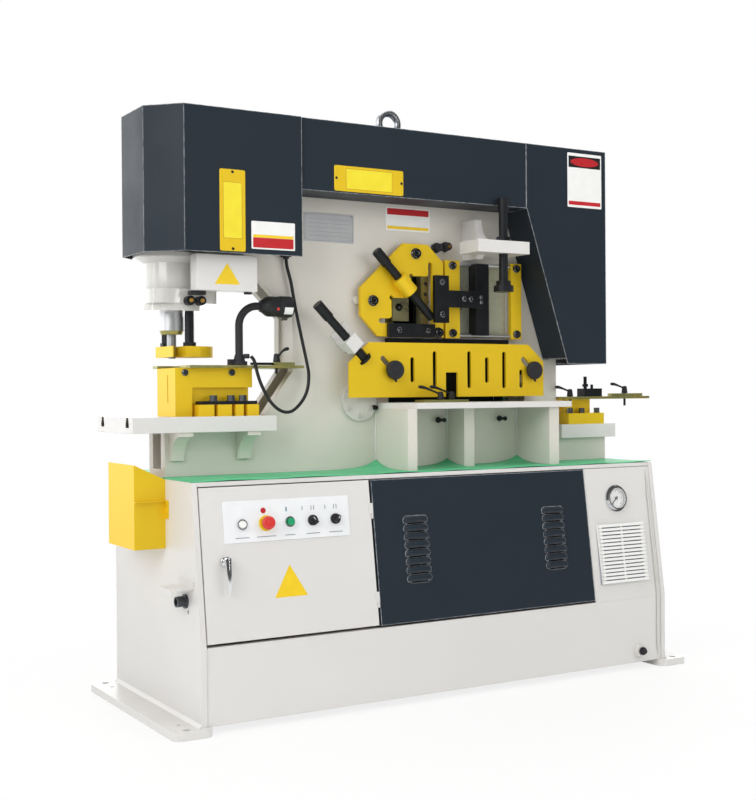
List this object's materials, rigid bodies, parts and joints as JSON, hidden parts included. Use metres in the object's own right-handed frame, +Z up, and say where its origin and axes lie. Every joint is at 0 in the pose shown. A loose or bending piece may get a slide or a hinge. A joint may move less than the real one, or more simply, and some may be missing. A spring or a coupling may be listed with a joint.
{
  "type": "hydraulic ironworker",
  "caption": "Floor-standing hydraulic ironworker with a punching station, section, bar and flat shears and a notching station on a boxed base with a control door.",
  "frame": {"origin": "on the floor at the centre of the four anchor holes, which is the centre of the base", "axes": "+X along the machine from the punch end to the notching end, +Y to the back, +Z up; the control side faces -Y"},
  "size_m": [1.972, 0.723, 1.8455],
  "materials": {
    "grey_paint": "gloss light grey paint",
    "dark_paint": "textured anthracite paint",
    "yellow_paint": "gloss yellow paint",
    "green_mat": "green ribbed rubber mat",
    "bright_steel": "ground steel",
    "blade_steel": "hardened blade steel",
    "black_oxide": "black oxide steel",
    "plated": "yellow zinc plating",
    "chrome": "chrome",
    "black_plastic": "black plastic",
    "white_plastic": "white plastic",
    "red_plastic": "red plastic",
    "green_plastic": "green plastic",
    "clear_sheet": "clear polycarbonate",
    "cable": "black cable sheath",
    "grey_cast": "painted casting",
    "motor_grey": "motor paint"
  },
  "bodies": {
    "machine": {"base_ends": "grey_paint", "front_panel": "grey_paint", "base_shell": "grey_paint", "power_pack": "motor_grey", "electrics_plate": "bright_steel", "louver_panel": "dark_paint", "gauge_case": "chrome", "vent_grille": "white_plastic", "slug_bin": "yellow_paint", "deck_mat": "green_mat", "frame_plates": "grey_paint", "frame_ribs": "grey_paint", "hydraulic_cylinders": "grey_cast", "punch_table": "grey_paint", "stripper": "yellow_paint", "die_block": "yellow_paint", "die_clamps": "yellow_paint", "gauge_plates": "plated", "limit_switch_box": "grey_paint", "head_cover": "dark_paint", "beam_cover": "dark_paint", "right_cover": "dark_paint", "lifting_eye": "black_oxide", "section_plate": "yellow_paint", "bar_guard": "yellow_paint", "guard_window": "clear_sheet", "holddown_brackets": "grey_paint", "shear_table": "grey_paint", "pivot_pin": "grey_cast", "fixed_blades": "blade_steel", "notch_table": "grey_paint", "notch_die": "yellow_paint", "lamp_stand": "black_plastic", "lamp_head": "black_plastic", "lamp_cord": "cable"},
    "needle": {"gauge_needle": "black_plastic"},
    "door": {"cabinet_door": "grey_paint", "control_plate": "white_plastic"},
    "handle": {"door_handle": "chrome"},
    "estop": {"estop_button": "red_plastic"},
    "start": {"start_button": "green_plastic"},
    "selector_l": {"selector_left": "black_plastic"},
    "selector_r": {"selector_right": "black_plastic"},
    "ram": {"punch_ram": "bright_steel"},
    "rocker": {"rocker_beam": "blade_steel"},
    "rod": {"shear_rod": "bright_steel"},
    "section_screw_body": {"section_screw": "black_oxide"},
    "arm": {"guard_arm": "black_oxide"},
    "bar_screw_body": {"bar_screw": "black_oxide"},
    "guard": {"flat_guard": "yellow_paint"},
    "guard_screw": {"flat_screw": "black_oxide"},
    "knob_l": {"knob_left": "black_plastic"},
    "knob_r": {"knob_right": "black_plastic"},
    "tlever_l": {"table_lever_left": "black_oxide"},
    "tlever_r": {"table_lever_right": "black_oxide"},
    "pfence": {"punch_fence": "plated"},
    "pfence_lever": {"fence_lever": "black_oxide"},
    "nfence": {"notch_fence": "plated"},
    "nlever_l": {"notch_lever_left": "black_oxide"},
    "nlever_r": {"notch_lever_right": "black_oxide"}
  },
  "joints": [
    {"name": "door_swing", "type": "hinge", "parent": "machine", "child": "door", "pos_m": [-0.2775, -0.31357, 0.43852], "axis": [0, 0.137, 0.9906], "range_deg": [0, 110]},
    {"name": "handle_turn", "type": "hinge", "parent": "door", "child": "handle", "pos_m": [-0.756, -0.30717, 0.46288], "axis": [0, -0.9906, 0.137], "range_deg": [0, 90]},
    {"name": "estop_press", "type": "slide", "parent": "door", "child": "estop", "axis": [0, 0.9906, -0.137], "range_m": [0, 0.005], "stiffness_N_per_m": 1500},
    {"name": "start_press", "type": "slide", "parent": "door", "child": "start", "axis": [0, 0.9906, -0.137], "range_m": [0, 0.003], "stiffness_N_per_m": 1200},
    {"name": "selector_left_turn", "type": "hinge", "parent": "door", "child": "selector_l", "pos_m": [-0.477, -0.29374, 0.55995], "axis": [0, -0.9906, 0.137], "range_deg": [-45, 45]},
    {"name": "selector_right_turn", "type": "hinge", "parent": "door", "child": "selector_r", "pos_m": [-0.403, -0.29374, 0.55995], "axis": [0, -0.9906, 0.137], "range_deg": [-45, 45]},
    {"name": "gauge_reading", "type": "hinge", "parent": "machine", "child": "needle", "pos_m": [0.667, -0.29278, 0.56689], "axis": [0, -0.9906, 0.137], "range_deg": [-270, 0]},
    {"name": "punch_stroke", "type": "slide", "parent": "machine", "child": "ram", "axis": [0, 0, -1], "range_m": [0, 0.034]},
    {"name": "rocker_swing", "type": "hinge", "parent": "machine", "child": "rocker", "pos_m": [-0.175, 0.02, 0.897], "axis": [0, 1, 0], "range_deg": [0, 6.5]},
    {"name": "shear_cylinder_stroke", "type": "slide", "parent": "machine", "child": "rod", "axis": [0, 0, -1], "range_m": [0, 0.0765]},
    {"name": "section_holddown_feed", "type": "slide", "parent": "machine", "child": "section_screw_body", "axis": [0.7071, 0, -0.7071], "range_m": [-0.05, 0.01]},
    {"name": "guard_arm_slide", "type": "slide", "parent": "machine", "child": "arm", "axis": [1, 0, 0], "range_m": [-0.03, 0]},
    {"name": "bar_holddown_feed", "type": "slide", "parent": "machine", "child": "bar_screw_body", "axis": [0, 0, 1], "range_m": [-0.06, 0.05]},
    {"name": "flat_guard_slide", "type": "slide", "parent": "machine", "child": "guard", "axis": [0.7071, 0, -0.7071], "range_m": [0, 0.022]},
    {"name": "flat_screw_spin", "type": "hinge", "parent": "guard", "child": "guard_screw", "pos_m": [-0.183, -0.098, 1.029], "axis": [0.7071, 0, -0.7071], "range_deg": [-5, 1600]},
    {"name": "guard_knob_left_turn", "type": "hinge", "parent": "machine", "child": "knob_l", "pos_m": [-0.083, -0.1, 0.995], "axis": [0, -1, 0], "continuous": true},
    {"name": "guard_knob_right_turn", "type": "hinge", "parent": "machine", "child": "knob_r", "pos_m": [0.467, -0.1, 0.995], "axis": [0, -1, 0], "continuous": true},
    {"name": "table_lever_left_turn", "type": "hinge", "parent": "machine", "child": "tlever_l", "pos_m": [0.061, -0.156, 0.9], "axis": [0, 0, 1], "range_deg": [0, 80]},
    {"name": "table_lever_right_turn", "type": "hinge", "parent": "machine", "child": "tlever_r", "pos_m": [0.121, -0.13, 0.9], "axis": [0, 0, 1], "range_deg": [-10, 8]},
    {"name": "punch_fence_slide", "type": "slide", "parent": "machine", "child": "pfence", "axis": [1, 0, 0], "range_m": [-0.008, 0.03]},
    {"name": "punch_fence_lever_turn", "type": "hinge", "parent": "pfence", "child": "pfence_lever", "pos_m": [-0.474, -0.068, 1.018], "axis": [0, 0, 1], "range_deg": [-90, 0]},
    {"name": "notch_fence_slide", "type": "slide", "parent": "machine", "child": "nfence", "axis": [1, 0, 0], "range_m": [-0.02, 0.02]},
    {"name": "notch_lever_left_turn", "type": "hinge", "parent": "machine", "child": "nlever_l", "pos_m": [0.665, -0.06, 0.905], "axis": [0, 0, 1], "range_deg": [0, 90]},
    {"name": "notch_lever_right_turn", "type": "hinge", "parent": "nfence", "child": "nlever_r", "pos_m": [0.915, -0.06, 0.915], "axis": [0, 0, 1], "range_deg": [-45, 90]}
  ],
  "couplings": [
    {"joint": "shear_cylinder_stroke", "follows": "rocker_swing", "m_per_rad": 0.66},
    {"joint": "flat_screw_spin", "follows": "flat_guard_slide", "rad_per_m": 1256.6}
  ]
}
